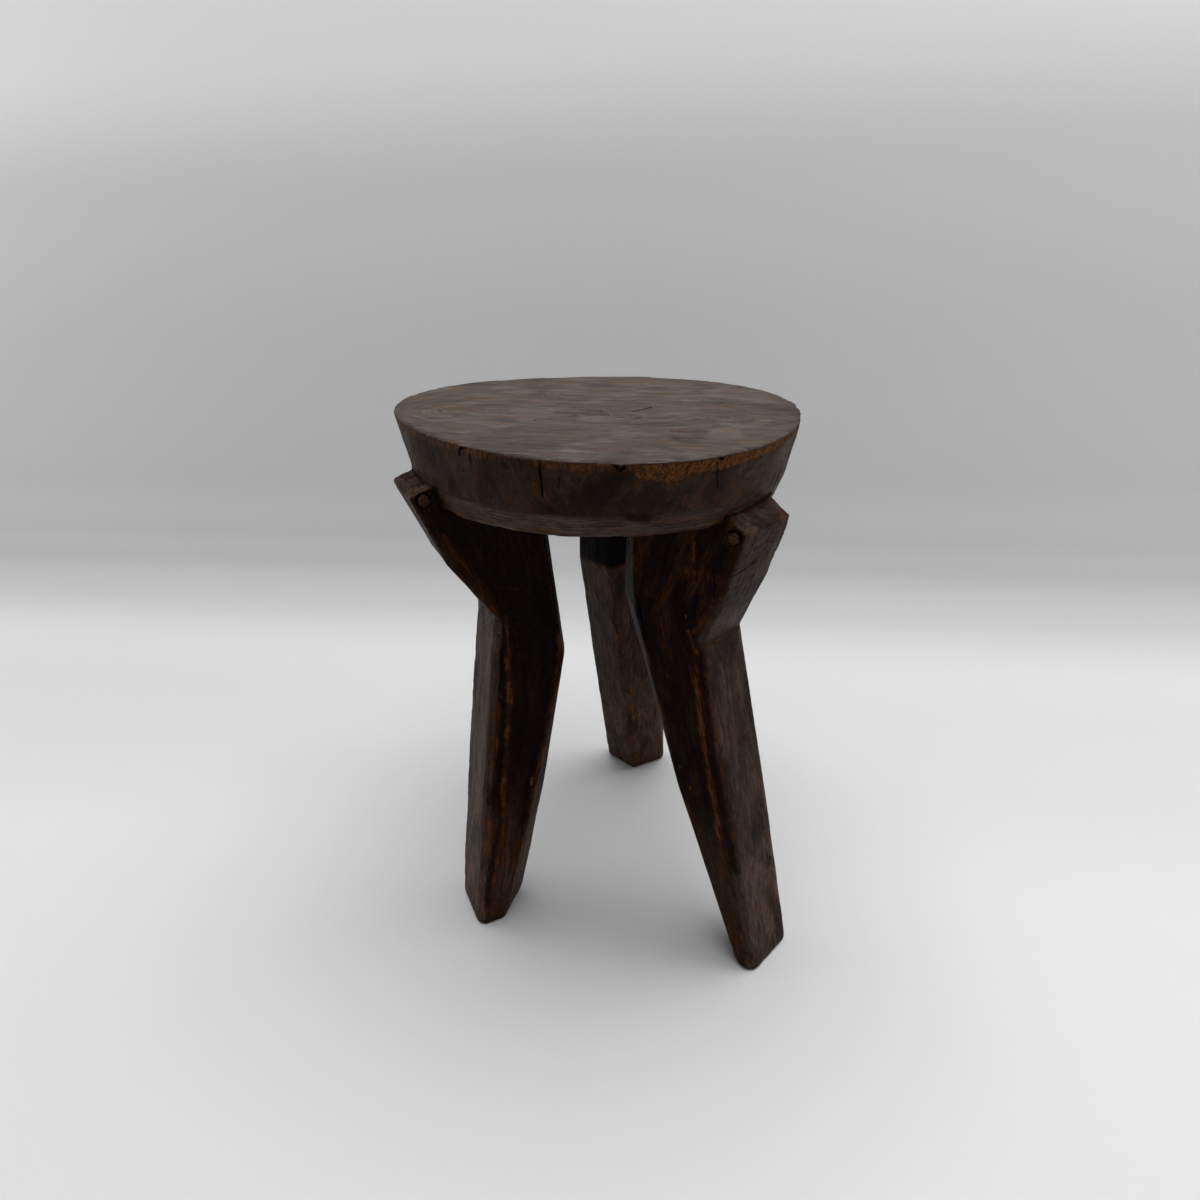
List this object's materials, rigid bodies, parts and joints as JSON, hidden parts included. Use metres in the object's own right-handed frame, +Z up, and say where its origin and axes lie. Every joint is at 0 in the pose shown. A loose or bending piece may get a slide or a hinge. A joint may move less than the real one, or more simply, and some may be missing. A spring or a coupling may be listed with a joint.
{
  "type": "three-legged stool",
  "caption": "Low hand-hewn wooden stool: a thick round seat that tapers downwards, on splayed angular legs that bend inwards below flared shoulders and are pegged to the seat.",
  "frame": {"origin": "middle of the stool's outline, on the floor that its feet stand on", "axes": "+Z up, through the seat; -Y towards the side that the picture shows, between the left and right front legs; +Y towards the back leg; +X towards the right leg"},
  "size_m": [0.2911, 0.3079, 0.4043],
  "materials": {
    "seat_wood": "satin, worn",
    "leg_wood": "satin, smoke-darkened",
    "peg_wood": "matt end grain"
  },
  "bodies": {
    "root": {"seat": "seat_wood", "leg_left": "leg_wood", "leg_right": "leg_wood", "leg_back": "leg_wood", "peg_left": "peg_wood", "peg_right": "peg_wood", "peg_back": "peg_wood"}
  },
  "joints": []
}
